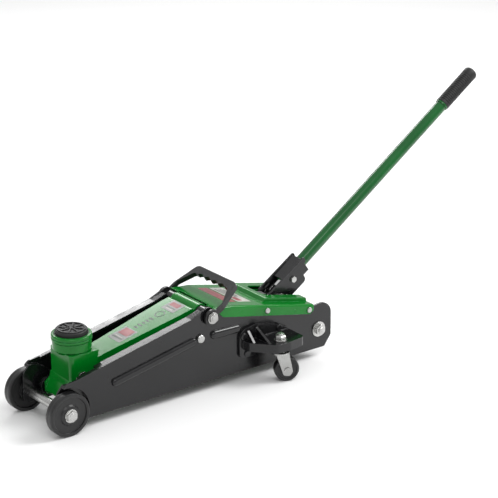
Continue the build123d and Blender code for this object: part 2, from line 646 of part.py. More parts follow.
def pump_block():
    """Cast base of the power unit with the valve boss and the two pivot lugs."""
    half = PLATE_IN_Y
    front = slab([(BLOCK_FRONT_X, BLOCK_LOW, 4), (BLOCK_BACK_X, BLOCK_LOW + 6, 6), (BLOCK_BACK_X, BLOCK_TOP, 8),
                  (BLOCK_FRONT_X, BLOCK_TOP + 4, 4)], -34, 34)
    tail = across((TAIL_BOLT_X, TAIL_BOLT_HIGH), 14, -half, half)
    body = front + tail + along_ram(BLOCK_FRONT_X, BLOCK_FRONT_X + 14, TANK_R + 1.5)
    body -= across((PIVOT_X, PIVOT_HIGH), SOCKET_SWEEP_R, -LUG_IN_Y, LUG_IN_Y)
    lug = slab([(BLOCK_FRONT_X + 8, BLOCK_TOP - 8, 0), (PIVOT_X + 16, BLOCK_TOP - 8, 0),
                (PIVOT_X + 9, PIVOT_HIGH + 4, 6), (PIVOT_X - 9, PIVOT_HIGH + 4, 6)], LUG_IN_Y, LUG_IN_Y + LUG_T)
    body += both(lug)
    neck = slab([(BLOCK_FRONT_X, BLOCK_TOP - 6, 0), (PIVOT_X - 12, BLOCK_TOP - 6, 0),
                 (PIVOT_X - 13, PIVOT_HIGH + 7, 5), (BLOCK_FRONT_X, PIVOT_HIGH + 7, 5)], -8, 8)
    body += neck
    body -= across((PIVOT_X, PIVOT_HIGH), PIVOT_BOLT_R, -40, 40)
    body -= rod((BLOCK_FRONT_X + 8, 0, PIVOT_HIGH), (PIVOT_X, 0, PIVOT_HIGH), VALVE_R + RUNNING)
    body -= upright(PLUNGER_X, 0, PLUNGER_R + RUNNING, BLOCK_LOW + 14, BLOCK_TOP + 20)
    body -= across((TAIL_BOLT_X, TAIL_BOLT_HIGH), TAIL_BOLT_R, -half - 1, half + 1)
    body -= along_ram(TANK_FRONT_X, TANK_BACK_X, TANK_R)
    body -= along_ram(TANK_FRONT_X, BLOCK_FRONT_X + 12, CYL_R)
    body -= upright(PLUG_X, PLUG_Y, 5.0, BLOCK_TOP - 12, BLOCK_TOP + 10)
    return body


def oil_plug():
    body = upright(PLUG_X, PLUG_Y, 5.0, BLOCK_TOP - 12, BLOCK_TOP + 2)
    return body + upright(PLUG_X, PLUG_Y, 8.0, BLOCK_TOP + 1.5, BLOCK_TOP + 5.5)


def tail_bolts():
    place = (TAIL_BOLT_X, TAIL_BOLT_HIGH)
    seat = PLATE_OUT_Y + WASHER_T
    shank = across(place, TAIL_BOLT_R, PLATE_IN_Y - 22, seat)
    stud = across(place, TAIL_BOLT_R - 1.2, seat, seat + TAIL_NUT_T + 2.2)
    stud = chamfer(stud.edges().filter_by(GeomType.CIRCLE).group_by(Axis.Y)[-1], 0.8)
    return both(shank + nut(place, TAIL_NUT_AF, seat, seat + TAIL_NUT_T, 1) + stud)


def tail_washers():
    place = (TAIL_BOLT_X, TAIL_BOLT_HIGH)
    ring = across(place, 12.0, PLATE_OUT_Y, PLATE_OUT_Y + WASHER_T)
    return both(ring - across(place, TAIL_BOLT_R, PLATE_OUT_Y - 1, PLATE_OUT_Y + WASHER_T + 1))


def ram_rod():
    start = CRANK_PIN[0] + HEAD_BACK
    return along_ram(start, BLOCK_FRONT_X - 4, RAM_ROD_R)


def ram_head():
    """Fork on the ram: its upright slots carry the crank pin, which rises and falls in them."""
    half = ARM_REAR_Y - ARM_T - SIDE_GAP
    pin_off = CRANK_R - RAM_DROP
    back = CRANK_PIN[0] + HEAD_BACK + 7
    low, high = -pin_off - CRANK_PIN_R - 7, pin_off + CRANK_PIN_R + 7
    front = CRANK_PIN[0] - CRANK_PIN_R - SLOT_PLAY - 6
    body = slab([(*on_ram(front, low), 3), (*on_ram(back, low), 3), (*on_ram(back, high), 3),
                 (*on_ram(front, high), 3)], -half, half)
    slot_r = CRANK_PIN_R + SLOT_PLAY
    reach = pin_off + 1.5
    slot = slab([(*on_ram(CRANK_PIN[0] - slot_r, -reach - slot_r), slot_r * 0.9),
                 (*on_ram(CRANK_PIN[0] + slot_r, -reach - slot_r), slot_r * 0.9),
                 (*on_ram(CRANK_PIN[0] + slot_r, reach + slot_r), slot_r * 0.9),
                 (*on_ram(CRANK_PIN[0] - slot_r, reach + slot_r), slot_r * 0.9)], -half - 1, half + 1)
    body -= slot
    return body - along_ram(CRANK_PIN[0] + HEAD_BACK, TANK_FRONT_X, RAM_ROD_R)


def valve_stem():
    """Release valve screw with a ball end at the handle pivot."""
    stem = rod((BLOCK_FRONT_X + 9, 0, PIVOT_HIGH), (PIVOT_X - 3, 0, PIVOT_HIGH), VALVE_R * 0.6)
    screw = rod((BLOCK_FRONT_X + 9, 0, PIVOT_HIGH), (PIVOT_X - 14, 0, PIVOT_HIGH), VALVE_R)
    return stem + screw + (Pos(PIVOT_X, 0, PIVOT_HIGH) * Sphere(VALVE_BALL_R))


def pivot_bolts():
    """Two shoulder bolts on which the handle socket turns."""
    place = (PIVOT_X, PIVOT_HIGH)
    seat = LUG_IN_Y + LUG_T
    shank = across(place, PIVOT_BOLT_R, SOCKET_IN_Y, seat)
    head = across(place, PIVOT_BOLT_R * 1.5, seat, seat + PIVOT_HEAD_T)
    return both(shank + head)


def pump_plunger():
    stem = upright(PLUNGER_X, 0, PLUNGER_R, BLOCK_LOW + 26, PLUNGER_TOP - 3)
    return stem + upright(PLUNGER_X, 0, PLUNGER_R + 2.5, PLUNGER_TOP - 3, PLUNGER_TOP)


def pump_spring():
    """Return spring round the plunger, as a sleeve of its coils' size."""
    low, high = BLOCK_TOP + 2.6, PLUNGER_TOP - 3.2
    ring = upright(PLUNGER_X, 0, PLUNGER_R + 2.2, low, high)
    return ring - upright(PLUNGER_X, 0, PLUNGER_R + 0.6, low - 1, high + 1)


# ---- handle ----
def on_handle(along, up=0.0):
    angle = HANDLE_REST_DEG
    return (PIVOT_X + in_x(angle, along) + in_x(angle + 90, up),
            PIVOT_HIGH + in_z(angle, along) + in_z(angle + 90, up))


def along_handle(start, end, radius):
    a, b = on_handle(start), on_handle(end)
    return rod((a[0], 0, a[1]), (b[0], 0, b[1]), radius)


def socket_wall_corners():
    pin_along = in_x(PUMP_REST_DEG - HANDLE_REST_DEG, PUMP_ARM)
    pin_up = in_z(PUMP_REST_DEG - HANDLE_REST_DEG, PUMP_ARM)
    return [(*on_handle(-11, 15), 4), (*on_handle(SOCKET_TOP, 13), 2), (*on_handle(SOCKET_TOP - 1, 6), 3),
            (*on_handle(57, -1), 5), (*on_handle(55, -17.5), 3), (*on_handle(51, -20.5), 3),
            (*on_handle(pin_along + 9, pin_up - 5), 6), (*on_handle(pin_along - 6, pin_up - 7), 6),
            (*on_handle(-9, -9), 7)]


def handle_socket():
    """Folded channel that carries the handle: two walls joined by a web below the tube."""
    outer = SOCKET_IN_Y + SOCKET_T
    wall = slab(socket_wall_corners(), SOCKET_IN_Y, outer)
    wall -= across((PIVOT_X, PIVOT_HIGH), PIVOT_BOLT_R + RUNNING, 0, outer + 1)
    wall -= across(PUMP_PIN, PUMP_PIN_R, 0, outer + 1)
    web = slab([(*on_handle(25, -TUBE_R - 3.6), 0), (*on_handle(54, -TUBE_R - 3.6), 0),
                (*on_handle(54, -TUBE_R - 6.6), 0), (*on_handle(25, -TUBE_R - 6.6), 0)],
               -SOCKET_IN_Y, SOCKET_IN_Y)
    solids = [*wall.solids(), *mirror(wall, about=Plane.XZ).solids()]
    body = web
    for piece in solids:
        body += piece
    return body


def socket_sleeve():
    """Bearing sleeve welded between the walls, in which the handle turns."""
    start, end = SOCKET_SLEEVE
    half = SOCKET_IN_Y
    block = slab([(*on_handle(start, TUBE_R + 3), 0), (*on_handle(end, TUBE_R + 3), 0),
                  (*on_handle(end, -TUBE_R - 3.6), 0), (*on_handle(start, -TUBE_R - 3.6), 0)], -half, half)
    return block - along_handle(start - 1, end + 1, TUBE_R + RUNNING)


def pump_roller():
    pin = across(PUMP_PIN, PUMP_PIN_R, -SOCKET_IN_Y - SOCKET_T, SOCKET_IN_Y + SOCKET_T)
    return pin + across(PUMP_PIN, ROLLER_R, -SOCKET_IN_Y + SIDE_GAP, SOCKET_IN_Y - SIDE_GAP)


def socket_bolts():
    """Hexagon screws that hold the sleeve in the channel."""
    place = on_handle(37.5, 0)
    end = SOCKET_IN_Y + SOCKET_T
    return both(nut(place, 9.0, end, end + 3.2, 1))


def handle_tube():
    start, end = 24.0, HANDLE_END - GRIP_LENGTH + 60
    body = along_handle(start, end, TUBE_R) - along_handle(start + 12, end + 1, TUBE_R - TUBE_WALL)
    return body


def handle_fork():
    """Fork on the tube's lower end that turns the valve's ball."""
    disc = along_handle(13, 24, FORK_NECK_R)
    tine_in = VALVE_BALL_R + SIDE_GAP
    tine = slab([(*on_handle(TINE_START, 4.5), 1.5), (*on_handle(14, 4.5), 0), (*on_handle(14, -4.5), 0),
                 (*on_handle(TINE_START, -4.5), 1.5)], tine_in, tine_in + 2.6)
    body = disc
    for piece in both(tine).solids():
        body += piece
    return body


def handle_grip():
    """Rubber grip with a closed round end and shallow rings."""
    start, end = HANDLE_END - GRIP_LENGTH, HANDLE_END
    body = along_handle(start, end, GRIP_R)
    body = fillet(body.edges().filter_by(GeomType.CIRCLE).sort_by(Axis.X)[-1], 6.0)
    return body - along_handle(start - 1, start + 60, TUBE_R)


# ---- cover ----
def cover_corners(drop, low):
    return [(COVER_FRONT_X, COVER_FRONT_HIGH - drop, 0), (COVER_BEND_X, COVER_BEND_HIGH - drop, 0),
            (COVER_BACK_X, COVER_BACK_HIGH - drop, 0), (COVER_BACK_X, low, 0), (COVER_FRONT_X, low, 0)]


def cover():
    """Folded sheet over the power unit with a raised collar round the handle opening."""
    out, inside = COVER_OUT_Y, COVER_OUT_Y - COVER_T
    body = slab(cover_corners(0, 40), -out, out)
    longways = [e for e in body.edges() if abs(abs(e.center().Y) - out) < 0.01 and e.center().Z > 85
                and abs(e.tangent_at(0.5).Y) < 0.1 and COVER_FRONT_X + 1 < e.center().X < COVER_BACK_X - 1]
    body = fillet(longways, 3.5)
    body -= slab(cover_corners(COVER_T, 30), -inside, inside)
    front, back = COVER_FRONT_X - 1, COVER_BACK_X + 1
    corner, clear = COVER_BACK_X - 7, SHAFT_X + 23
    skirt = slab([(front, COVER_FRONT_HIGH + 20, 0), (back, COVER_FRONT_HIGH + 20, 0),
                  (back, cover_high(COVER_BACK_X) - 8, 0), (corner, cover_high(corner) - COVER_SKIRT + 1.8, 2),
                  (COVER_BEND_X, COVER_BEND_HIGH - COVER_SKIRT, 4), (clear, cover_high(clear) - COVER_SKIRT + 2, 3),
                  (SHAFT_X + 11.5, COVER_FRONT_HIGH - 6.5, 0), (front, COVER_FRONT_HIGH - 3.2, 0)],
                 -out - 1, out + 1)
    body &= skirt
    body += collar()
    opening = tile([(OPENING_FRONT_X, -OPENING_HALF_W, 10), (COVER_BACK_X + 9, -OPENING_HALF_W, 0),
                    (COVER_BACK_X + 9, OPENING_HALF_W, 0), (OPENING_FRONT_X, OPENING_HALF_W, 10)], 50, 200)
    body -= opening
    notch = tile([(COVER_FRONT_X - 5, -36, 0), (COVER_FRONT_X - 5, 36, 0), (SHAFT_X + 11.5, 36, 2),
                  (SHAFT_X + 11.5, -36, 2)], 100, 200)
    body -= notch
    for x in COVER_SCREWS_X:
        body -= across((x, screw_high(x)), SCREW_R, -out - 1, out + 1)
    return body


def collar():
    start, end = COLLAR_FRONT_X, COVER_BACK_X - 1
    rise = [(start, cover_high(start) - COVER_T, 0), (start + 8, cover_high(start + 8) + COLLAR_RISE, 4),
            (end - 2, cover_high(end - 2) + COLLAR_RISE, 3), (end, cover_high(end) - COVER_T, 0)]
    body = slab(rise, -COLLAR_HALF_W, COLLAR_HALF_W)
    inner = [(start + 3, cover_high(start + 3) - COVER_T - 1, 0),
             (start + 9, cover_high(start + 9) + COLLAR_RISE - COVER_T, 2),
             (end - 4, cover_high(end - 4) + COLLAR_RISE - COVER_T, 2),
             (end - 3, cover_high(end - 3) - COVER_T - 1, 0)]
    return body - slab(inner, -COLLAR_HALF_W + COVER_T, COLLAR_HALF_W - COVER_T)


def cover_screws():
    group = []
    for x in COVER_SCREWS_X:
        place = (x, screw_high(x))
        head = across(place, SCREW_HEAD_R, COVER_OUT_Y, COVER_OUT_Y + 2.2)
        head = fillet(head.edges().filter_by(GeomType.CIRCLE).group_by(Axis.Y)[-1], 1.4)
        group += both(head + across(place, SCREW_R, PLATE_IN_Y - 4, COVER_OUT_Y)).solids()
    return Compound(children=group)


# ---- casters ----
def shelf_plan(inset):
    """Plan of the shelf; its lip's inside is the same shape drawn smaller and open at the rear."""
    face = PLATE_OUT_Y - 2 * inset
    rear = CASTER_X + 38 + 3 * inset
    return [(CASTER_X - 48 - inset, face, 0), (rear, face, 0), (rear, CASTER_Y + 10 - inset, 8 - inset),
            (CASTER_X + 8, CASTER_Y + 15 - inset, 9 - inset),
            (CASTER_X - 16 + inset / 2, CASTER_Y + 14 - inset, 9 - inset),
            (CASTER_X - 44 + inset, PLATE_OUT_Y + 16, 12)]


def caster_bracket():
    """Right-hand pressed shelf on the side plate, with a lip round its edge and a gusset in front."""
    face = PLATE_OUT_Y
    shelf = tile(shelf_plan(0), SHELF_HIGH, SHELF_HIGH + SHELF_T)
    lip = tile(shelf_plan(0), SHELF_LIP_LOW, SHELF_HIGH + SHELF_T) - tile(shelf_plan(SHELF_T), 0, SHELF_HIGH)
    opening = tile([(CASTER_X + 22, face - 1, 0), (CASTER_X + 60, face - 1, 0), (CASTER_X + 60, CASTER_Y + 4, 0),
                    (CASTER_X + 22, CASTER_Y + 4, 0)],
                   0, SHELF_HIGH)
    back = slab([(CASTER_X - 54, 38, 8), (CASTER_X - 26, 38, 8), (CASTER_X - 16, SHELF_LIP_LOW, 6),
                 (CASTER_X + 38, SHELF_LIP_LOW + 2, 4), (CASTER_X + 38, SHELF_HIGH + SHELF_T + 3, 3),
                 (CASTER_X + 14, 78, 6), (CASTER_X - 24, 88, 8), (CASTER_X - 54, 82, 14)],
                face, face + SHELF_T)
    for x, far, top in GUSSETS:
        web = [(x, face + 1, 0), (x + SHELF_T, face + 1, 0), (x + SHELF_T, far, 0), (x, far, 0)]
        slope = Plane(origin=(0, face, top), x_dir=(1, 0, 0), z_dir=(0, top - SHELF_HIGH - SHELF_T, far - face))
        under = extrude(slope * Rectangle(2000, 400), amount=-200)
        back += tile(web, SHELF_HIGH, top) & under
    body = shelf + (lip - opening) + back
    body -= upright(CASTER_X, CASTER_Y, KINGPIN_R, SHELF_HIGH - 20, SHELF_HIGH + 20)
    for x, z in CASTER_RIVETS:
        body -= across((x, z), RIVET_R, face - 1, face + SHELF_T + 1)
    return body


def caster_rivets():
    group = []
    for x, z in CASTER_RIVETS:
        head = across((x, z), 5.5, PLATE_OUT_Y + SHELF_T, PLATE_OUT_Y + SHELF_T + 2.5)
        head = fillet(head.edges().filter_by(GeomType.CIRCLE).group_by(Axis.Y)[-1], 1.8)
        group += both(head + across((x, z), RIVET_R, PLATE_IN_Y, PLATE_OUT_Y + SHELF_T)).solids()
    return Compound(children=group)


def kingpin():
    """Right-hand caster stud with its nut, fixed in the shelf."""
    stud = upright(CASTER_X, CASTER_Y, KINGPIN_R, FORK_TOP - 5, SHELF_HIGH + SHELF_T + 11)
    foot = upright(CASTER_X, CASTER_Y, KINGPIN_R + 2, FORK_TOP - 7.5, FORK_TOP - FORK_T - 0.8)
    washer = upright(CASTER_X, CASTER_Y, 10, SHELF_HIGH + SHELF_T, SHELF_HIGH + SHELF_T + 1.6)
    hexagon = Pos(CASTER_X, CASTER_Y, SHELF_HIGH + SHELF_T + 1.6) * extrude(RegularPolygon(8.6, 6), amount=7)
    hexagon = chamfer(hexagon.edges().group_by(Axis.Z)[-1], 1.0)
    return stud + foot + washer + hexagon


def caster_race():
    """Ball race between shelf and fork."""
    low, high = FORK_TOP + SIDE_GAP, SHELF_HIGH
    ring = upright(CASTER_X, CASTER_Y, RACE_R, low, low + RACE_T)
    ring = chamfer(ring.edges().filter_by(GeomType.CIRCLE), 0.8)
    ring += upright(CASTER_X, CASTER_Y, RACE_R - 2.5, low + RACE_T / 2, high)
    return ring - upright(CASTER_X, CASTER_Y, KINGPIN_R, low - 1, high + 1)


def turned(piece, side=1):
    """Swing a right-hand caster piece about its stud to its parked angle."""
    return Pos(CASTER_X, CASTER_Y, 0) * Rot(0, 0, side * CASTER_TURN_DEG) * Pos(-CASTER_X, -CASTER_Y, 0) * piece


def caster_fork():
    half = CASTER_WHEEL_W / 2 + SIDE_GAP + 0.4
    wheel = (CASTER_X + CASTER_TRAIL, CASTER_WHEEL_R)
    crown = upright(CASTER_X, CASTER_Y, half + FORK_T + 3, FORK_TOP - FORK_T, FORK_TOP)
    cheek = slab([(CASTER_X - 9, FORK_TOP, 0), (CASTER_X + 11, FORK_TOP, 0), (wheel[0] + 8, wheel[1] - 2, 4),
                  (wheel[0] + 4, wheel[1] - 9, 5), (wheel[0] - 6, wheel[1] - 8, 5)], half, half + FORK_T)
    cheeks = both(cheek)
    body = crown
    for piece in cheeks.solids():
        body += Pos(0, CASTER_Y, 0) * piece
    body -= upright(CASTER_X, CASTER_Y, KINGPIN_R + RUNNING, 0, FORK_TOP + 5)
    body -= across(wheel, 3.0, CASTER_Y - 20, CASTER_Y + 20)
    return body


def caster_axle():
    wheel = (CASTER_X + CASTER_TRAIL, CASTER_WHEEL_R)
    reach = CASTER_WHEEL_W / 2 + SIDE_GAP + 0.4 + FORK_T
    pin = across(wheel, 3.0, CASTER_Y - reach, CASTER_Y + reach)
    for side in (1, -1):
        low = CASTER_Y + side * reach
        pin += across(wheel, 5.0, min(low, low + side * 1.8), max(low, low + side * 1.8))
    return pin


def caster_wheel():
    wheel = (CASTER_X + CASTER_TRAIL, CASTER_WHEEL_R)
    half = CASTER_WHEEL_W / 2
    body = across(wheel, CASTER_WHEEL_R, CASTER_Y - half, CASTER_Y + half)
    body = fillet(body.edges().filter_by(GeomType.CIRCLE), 2.5)
    return body - across(wheel, 3.0 + RUNNING, CASTER_Y - 20, CASTER_Y + 20)


# ---- carry handle ----
def bail_place(along, up=0.0):
    angle = BAIL_REST_DEG
    return (SHAFT_X + in_x(angle, along) + in_x(angle + 90, up),
            SHAFT_HIGH + in_z(angle, along) + in_z(angle + 90, up))


def carry_handle():
    """Bail on the shaft ends: two arms that close in to a straight grip with finger hollows."""
    flat = Plane(origin=(SHAFT_X, 0, SHAFT_HIGH), x_dir=(in_x(BAIL_REST_DEG, 1), 0, in_z(BAIL_REST_DEG, 1)),
                 z_dir=(-in_z(BAIL_REST_DEG, 1), 0, in_x(BAIL_REST_DEG, 1)))
    out, thin = BAIL_OUT_Y, BAIL_BOSS_T
    inner_edge = BAIL_REACH - BAIL_GRIP_W
    inner_half = BAIL_GRIP_HALF - BAIL_ARM_W
    ring = [(-6, out, 0), (BAIL_STRAIGHT - 4, out, 6), (BAIL_REACH, BAIL_GRIP_HALF, 9),
            (BAIL_REACH, -BAIL_GRIP_HALF, 9), (BAIL_STRAIGHT - 4, -out, 6), (-6, -out, 0),
            (-6, -out + thin, 0), (BAIL_STRAIGHT, -out + thin, 4),
            (inner_edge, -inner_half, 5), (inner_edge, inner_half, 5), (BAIL_STRAIGHT, out - thin, 4),
            (-6, out - thin, 0)]
    body = extrude(outline(ring, flat), amount=BAIL_T / 2, both=True)
    for piece in both(across(SHAFT, BAIL_BOSS_R, out - thin, out)).solids():
        body += piece
    for step in range(FINGERS):
        y = (step - (FINGERS - 1) / 2) * FINGER_PITCH
        middle = inner_edge - FINGER_R + FINGER_DEEP
        a, b = bail_place(middle, -20), bail_place(middle, 20)
        body -= rod((a[0], y, a[1]), (b[0], y, b[1]), FINGER_R)
    body -= across(SHAFT, SHAFT_R + RUNNING, -out - 1, out + 1)
    return body


def bail_spacers():
    """Distance rings on the shaft between side plate and carry handle."""
    ring = across(SHAFT, SHAFT_R + 1.3, PLATE_OUT_Y, BAIL_OUT_Y - BAIL_BOSS_T - SIDE_GAP)
    return both(ring - across(SHAFT, SHAFT_R, 0, BAIL_OUT_Y + 1))


# ---- return springs ----
def return_springs():
    """Extension springs from the crank pin to the block, as closed sleeves of the coils' size."""
    start = (CRANK_PIN[0] + 2, CRANK_PIN[1])
    y = ARM_REAR_Y + 5.2
    end = (BLOCK_FRONT_X - 2, BLOCK_TOP - 20)
    outer = rod((start[0] + 12, y, start[1] - 4), (end[0], y, end[1]), 4.0)
    inner = rod((start[0] + 10, y, start[1] - 3.5), (end[0] + 4, y, end[1] - 1), 2.6)
    return both(outer - inner)


# ---- all nodes ----
def mirrored(piece):
    return mirror(piece, about=Plane.XZ)


def nodes():
    made = {
        "side_plate_right": side_plate(), "front_axle": front_axle(), "front_axle_nuts": front_axle_nuts(),
        "front_wheel_right": front_wheel(), "main_shaft": main_shaft(), "main_shaft_nuts": main_shaft_nuts(),
        "shaft_spacers": shaft_spacers(), "link_pivot_bolts": link_pivot_bolts(),
        "link_pivot_spacers": link_pivot_spacers(), "cross_brace": cross_brace(), "lift_arm": lift_arm(),
        "crank_pin": crank_pin(), "arm_pin": arm_pin(), "saddle_bracket": saddle_bracket(),
        "link_rivets": link_rivets(), "saddle_cup": saddle_cup(), "saddle_pad": saddle_pad(),
        "link_right": link(), "oil_tank": tank(), "ram_cylinder": ram_cylinder(), "tank_nut": tank_nut(),
        "pump_block": pump_block(), "oil_plug": oil_plug(), "tail_bolts": tail_bolts(),
        "tail_washers": tail_washers(), "ram_rod": ram_rod(), "ram_head": ram_head(),
        "release_valve": valve_stem(), "pivot_bolts": pivot_bolts(), "pump_plunger": pump_plunger(),
        "pump_spring": pump_spring(),
        "handle_socket": handle_socket(), "socket_sleeve": socket_sleeve(), "pump_roller": pump_roller(),
        "socket_bolts": socket_bolts(), "handle_tube": handle_tube(), "handle_fork": handle_fork(),
        "handle_grip": handle_grip(), "cover": cover(), "cover_screws": cover_screws(),
        "caster_bracket_right": caster_bracket(), "caster_rivets": caster_rivets(), "kingpin_right": kingpin(),
        "caster_race_right": caster_race(), "caster_fork_right": turned(caster_fork()),
        "caster_axle_right": turned(caster_axle()), "caster_wheel_right": turned(caster_wheel()),
        "carry_handle": carry_handle(), "bail_spacers": bail_spacers(), "return_springs": return_springs(),
    }
    for name in [n for n in made if n.endswith("_right")]:
        made[name.replace("_right", "_left")] = mirrored(made[name])
    return made


def main():
    os.makedirs("parts", exist_ok=True)
    for name, piece in nodes().items():
        solids = [s.moved(Location((-ORIGIN_X, 0, 0))) for s in piece.solids()]
        shape = solids[0] if len(solids) == 1 else Compound(children=solids)
        export_step(shape, f"parts/{name}.step")


main()
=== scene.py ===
import json
import math
import bmesh
import bpy
from mathutils import Matrix, Vector


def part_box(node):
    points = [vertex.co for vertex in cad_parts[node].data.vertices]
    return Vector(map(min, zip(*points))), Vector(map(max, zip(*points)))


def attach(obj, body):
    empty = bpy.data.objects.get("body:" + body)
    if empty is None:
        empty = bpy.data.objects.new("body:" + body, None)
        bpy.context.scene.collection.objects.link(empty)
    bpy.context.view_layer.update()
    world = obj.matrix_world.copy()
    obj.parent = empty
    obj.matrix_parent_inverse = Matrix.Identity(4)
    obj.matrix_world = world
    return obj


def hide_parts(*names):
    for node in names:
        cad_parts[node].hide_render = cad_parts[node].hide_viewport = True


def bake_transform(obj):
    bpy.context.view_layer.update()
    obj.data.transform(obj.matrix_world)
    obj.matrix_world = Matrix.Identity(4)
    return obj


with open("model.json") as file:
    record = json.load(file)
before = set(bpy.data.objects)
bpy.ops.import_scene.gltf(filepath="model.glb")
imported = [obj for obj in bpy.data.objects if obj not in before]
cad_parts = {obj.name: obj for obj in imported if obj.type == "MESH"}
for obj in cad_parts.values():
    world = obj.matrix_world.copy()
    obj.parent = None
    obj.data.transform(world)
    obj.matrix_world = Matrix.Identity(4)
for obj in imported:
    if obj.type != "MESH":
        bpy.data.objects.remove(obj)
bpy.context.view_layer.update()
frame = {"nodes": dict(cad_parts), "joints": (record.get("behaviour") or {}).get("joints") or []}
NODES = frame["nodes"]


# ---- places, all read from the frame ----
def middle(node):
    low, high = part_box(node)
    return (Vector(low) + Vector(high)) / 2


AXLE = middle("front_axle")
SHAFT = middle("main_shaft")
ARM_PIN = middle("arm_pin")
JOINTS = {j["name"]: j for j in frame["joints"]}
PIVOT = Vector(JOINTS["handle_twist"]["pos_m"])
HANDLE = Vector(JOINTS["handle_twist"]["axis"]).normalized()
ALONG_ARM = (ARM_PIN - SHAFT).normalized()
ARM_UP = Vector((0, 1, 0)).cross(ALONG_ARM)
if ARM_UP.z < 0:
    ARM_UP = -ARM_UP
MM = 0.001


# ---- materials ----
def material(name, colour, roughness, metallic=0.0, coat=0.0, vary=0.12, grain=900.0, bump=0.06,
             rough_spread=0.08, stretch=(1, 1, 1), edge=None, edge_width=0.0009, speck=None,
             round_r=0.0006, shine=0.5):
    """Painted, metal or rubber finish: colour drift, patchy gloss, fine grain, rounded edges, and lighter
    edges that are partly wear and partly painted highlight.

    edge is the colour of the lighter edges, partly wear and partly painted highlight, and speck the colour of
    small spots; without them there are none.
    """
    mat = bpy.data.materials.new(name)
    mat.use_nodes = True
    tree = mat.node_tree
    tree.nodes.clear()

    def add(kind, **values):
        node = tree.nodes.new(kind)
        for key, value in values.items():
            setattr(node, key, value)
        return node

    def link(a, b):
        tree.links.new(a, b)

    out = add("ShaderNodeOutputMaterial")
    shader = add("ShaderNodeBsdfPrincipled")
    shader.inputs["Base Color"].default_value = (*colour, 1)
    shader.inputs["Roughness"].default_value = roughness
    shader.inputs["Metallic"].default_value = metallic
    shader.inputs["Coat Weight"].default_value = coat
    shader.inputs["Specular IOR Level"].default_value = shine
    shader.inputs["Coat Roughness"].default_value = 0.06
    link(shader.outputs[0], out.inputs[0])
    where = add("ShaderNodeTexCoord")
    mapping = add("ShaderNodeMapping")
    mapping.inputs["Scale"].default_value = stretch
    link(where.outputs["Object"], mapping.inputs[0])

    def noise(scale, detail, vector=None):
        node = add("ShaderNodeTexNoise")
        node.inputs["Scale"].default_value = scale
        node.inputs["Detail"].default_value = detail
        link(vector or mapping.outputs[0], node.inputs["Vector"])
        return node.outputs["Fac"]

    def spread(source, low, high, start=0.35, end=0.65):
        node = add("ShaderNodeMapRange")
        node.inputs["From Min"].default_value = start
        node.inputs["From Max"].default_value = end
        node.inputs["To Min"].default_value = low
        node.inputs["To Max"].default_value = high
        link(source, node.inputs["Value"])
        return node.outputs[0]

    def mix(share, a, b):
        """Blend of two colours; 6, 7 and 2 are the colour sockets of a mix node."""
        node = add("ShaderNodeMix", data_type="RGBA")
        link(share, node.inputs["Factor"])
        for source, socket in ((a, node.inputs[6]), (b, node.inputs[7])):
            if isinstance(source, tuple):
                socket.default_value = (*source, 1)
            else:
                link(source, socket)
        return node.outputs[2]

    patches = noise(22.0, 4.0, where.outputs["Object"])
    darker = tuple(c * (1 - vary) for c in colour)
    lighter = tuple(min(1, c * (1 + vary)) for c in colour)
    base = mix(spread(patches, 0, 1), darker, lighter)
    glossy, dull = max(0.03, roughness - rough_spread), min(1, roughness + rough_spread)
    rough = spread(noise(55.0, 5.0), glossy, dull, 0.3, 0.7)
    if speck:
        base = mix(spread(noise(260.0, 3.0), 0, 1, 0.66, 0.72), base, speck)
    bevel = add("ShaderNodeBevel", samples=4)
    bevel.inputs["Radius"].default_value = round_r
    # Lighter colour along the edges: partly wear, partly painted highlight.
    if edge:
        wide = add("ShaderNodeBevel", samples=4)
        wide.inputs["Radius"].default_value = edge_width
        flat = add("ShaderNodeNewGeometry")
        dot = add("ShaderNodeVectorMath", operation="DOT_PRODUCT")
        link(wide.outputs[0], dot.inputs[0])
        link(flat.outputs["Normal"], dot.inputs[1])
        worn_and_highlit_edges = spread(dot.outputs["Value"], 1, 0, 0.80, 0.97)
        broken = add("ShaderNodeMath", operation="MULTIPLY")
        link(worn_and_highlit_edges, broken.inputs[0])
        link(spread(noise(140.0, 4.0), 0.15, 1.0, 0.42, 0.6), broken.inputs[1])
        base = mix(broken.outputs[0], base, edge)
    link(base, shader.inputs["Base Color"])
    link(rough, shader.inputs["Roughness"])
    relief = add("ShaderNodeBump")
    relief.inputs["Strength"].default_value = bump
    relief.inputs["Distance"].default_value = 0.0004
    link(noise(grain, 3.0), relief.inputs["Height"])
    link(bevel.outputs[0], relief.inputs["Normal"])
    link(relief.outputs[0], shader.inputs["Normal"])
    return mat


def label_print(name, colour, vary):
    """Printed film of a sticker."""
    return material(name, colour, 0.34, vary=vary, grain=1500, bump=0.02, round_r=0.0001)
